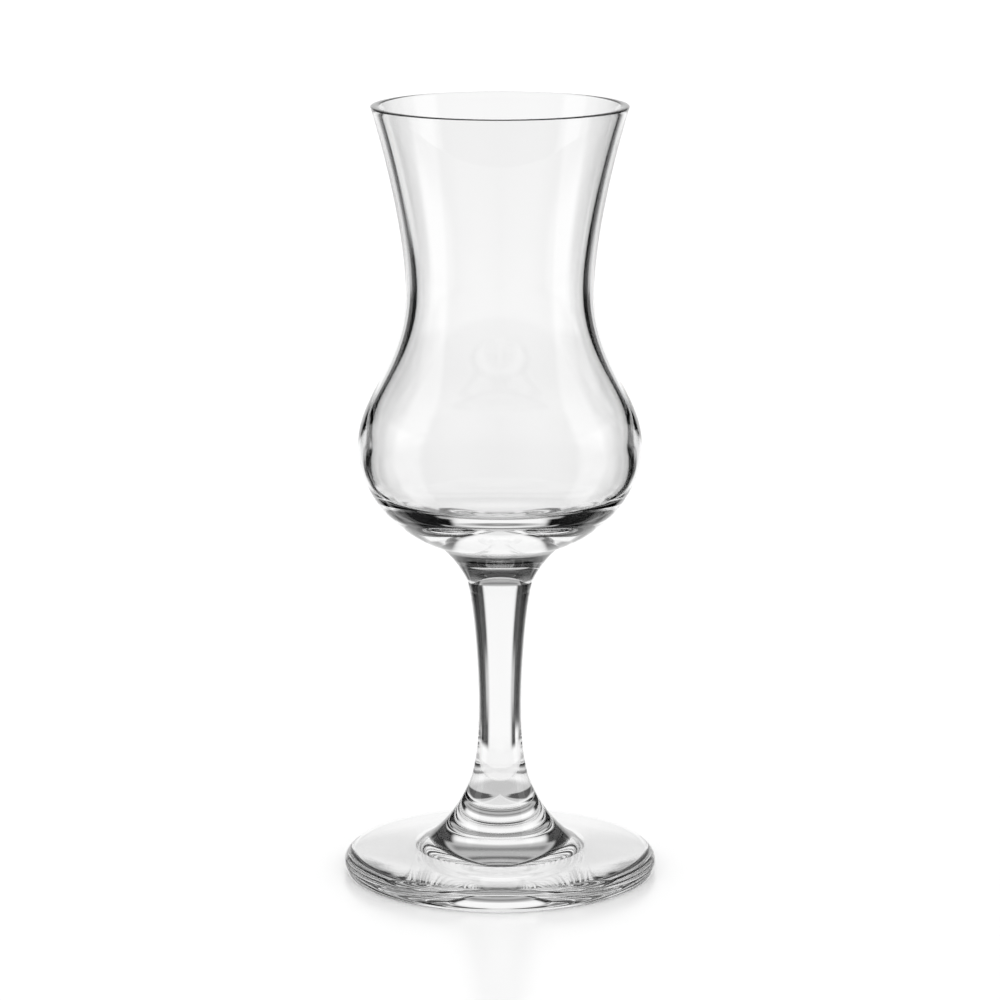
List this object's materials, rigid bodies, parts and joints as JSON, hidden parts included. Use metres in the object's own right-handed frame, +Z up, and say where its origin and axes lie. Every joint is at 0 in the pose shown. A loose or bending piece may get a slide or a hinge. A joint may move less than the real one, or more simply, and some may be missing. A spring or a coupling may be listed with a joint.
{
  "type": "aquavit glass",
  "caption": "Clear stemmed aquavit glass: flared mouth, narrow waist, round belly with a thick base, solid drawn stem and round foot.",
  "frame": {"origin": "centre of the standing ring, on the table", "axes": "+Z up along the axis of the glass; X and Y are free, because the glass is round"},
  "size_m": [0.061, 0.061, 0.15],
  "materials": {
    "clear_glass": "clear, fire-polished, colourless soda-lime glass"
  },
  "bodies": {
    "root": {"bowl": "clear_glass", "stem": "clear_glass", "foot": "clear_glass"}
  },
  "joints": []
}
